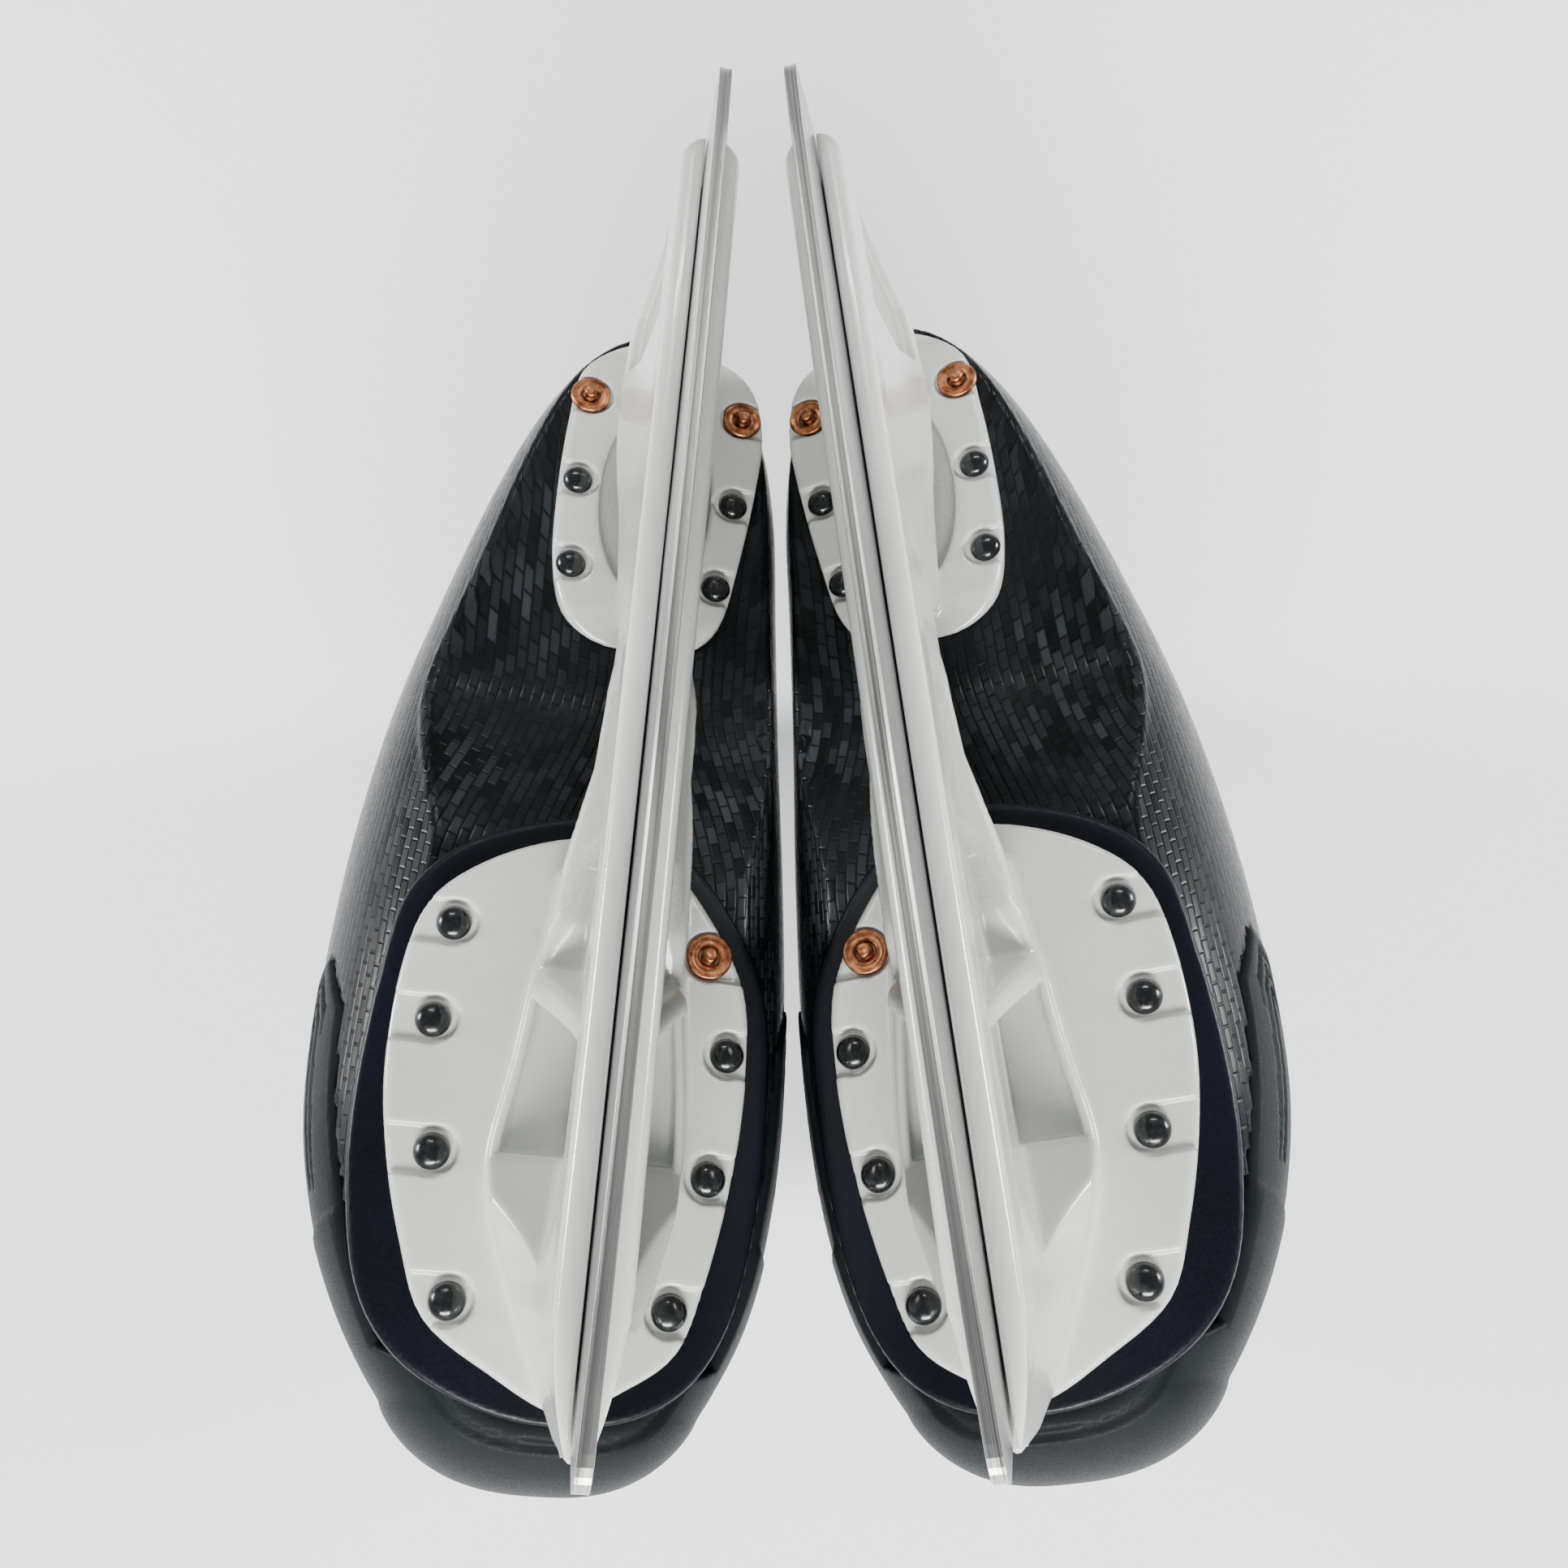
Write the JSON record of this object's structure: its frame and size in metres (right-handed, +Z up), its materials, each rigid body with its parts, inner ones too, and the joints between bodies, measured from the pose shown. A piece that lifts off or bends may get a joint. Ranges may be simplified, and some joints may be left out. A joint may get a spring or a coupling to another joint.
{
  "type": "ice hockey skates",
  "caption": "Pair of ice hockey skates standing blades up: carbon boots, gloss white two-tower blade holders riveted on, steel runners, toe caps, tongues and flexing tendon guards.",
  "frame": {"origin": "bottom centre of the pair's bounding box, on the surface that the cuffs' rims stand on", "axes": "+X from the image-left skate's side to the other's across the pair, with the pair mirrored about X = 0; +Y from the toes to the heels; +Z up, from the cuffs to the blades"},
  "size_m": [0.2438, 0.3068, 0.2731],
  "materials": {
    "carbon_shell": "clear-coated woven carbon fibre, black",
    "toe_cap_plastic": "moulded, fine matte grain",
    "outsole": "satin blue-black",
    "liner_fabric": "dark grey brushed lining over foam",
    "footbed_foam": "knit-faced foam",
    "tongue_felt": "felt with a smooth outer skin",
    "guard_plastic": "flexible black plastic",
    "eyelet_metal": "black",
    "white_plastic": "gloss white moulding",
    "runner_steel": "ground lengthwise on the edge, polished sides",
    "plated_steel": "zinc plated",
    "black_rivet": "gloss black",
    "copper": "bare copper"
  },
  "bodies": {
    "pair": {"left_boot_shell": "carbon_shell", "left_toe_cap": "toe_cap_plastic", "left_outsole_pad": "outsole", "left_liner": "liner_fabric", "left_footbed": "footbed_foam", "left_eyelets": "eyelet_metal", "left_holder": "white_plastic", "left_runner": "runner_steel", "left_barrel_nuts": "plated_steel", "left_runner_bolts": "plated_steel", "left_front_rivets": "black_rivet", "left_heel_rivets": "black_rivet", "left_copper_rivets": "copper", "left_copper_burrs": "copper", "left_inner_burrs": "plated_steel", "right_boot_shell": "carbon_shell", "right_toe_cap": "toe_cap_plastic", "right_outsole_pad": "outsole", "right_liner": "liner_fabric", "right_footbed": "footbed_foam", "right_eyelets": "eyelet_metal", "right_holder": "white_plastic", "right_runner": "runner_steel", "right_barrel_nuts": "plated_steel", "right_runner_bolts": "plated_steel", "right_front_rivets": "black_rivet", "right_heel_rivets": "black_rivet", "right_copper_rivets": "copper", "right_copper_burrs": "copper", "right_inner_burrs": "plated_steel"},
    "left_tongue_body": {"left_tongue": "tongue_felt"},
    "left_guard_body": {"left_tendon_guard": "guard_plastic"},
    "right_tongue_body": {"right_tongue": "tongue_felt"},
    "right_guard_body": {"right_tendon_guard": "guard_plastic"}
  },
  "joints": [
    {"name": "left_tongue_flex", "type": "hinge", "parent": "pair", "child": "left_tongue_body", "pos_m": [-0.05964, -0.0935, 0.14235], "axis": [-0.965, 0.0982, 0.2433], "range_deg": [0, 25], "stiffness_Nm_per_rad": 1.2},
    {"name": "left_guard_flex", "type": "hinge", "parent": "pair", "child": "left_guard_body", "pos_m": [-0.06881, 0.10799, 0.0246], "axis": [0.965, -0.0982, -0.2433], "range_deg": [0, 20], "stiffness_Nm_per_rad": 2},
    {"name": "right_tongue_flex", "type": "hinge", "parent": "pair", "child": "right_tongue_body", "pos_m": [0.05964, -0.0935, 0.14235], "axis": [-0.965, -0.0982, -0.2433], "range_deg": [0, 25], "stiffness_Nm_per_rad": 1.2},
    {"name": "right_guard_flex", "type": "hinge", "parent": "pair", "child": "right_guard_body", "pos_m": [0.06881, 0.10799, 0.0246], "axis": [0.965, 0.0982, 0.2433], "range_deg": [0, 20], "stiffness_Nm_per_rad": 2}
  ]
}
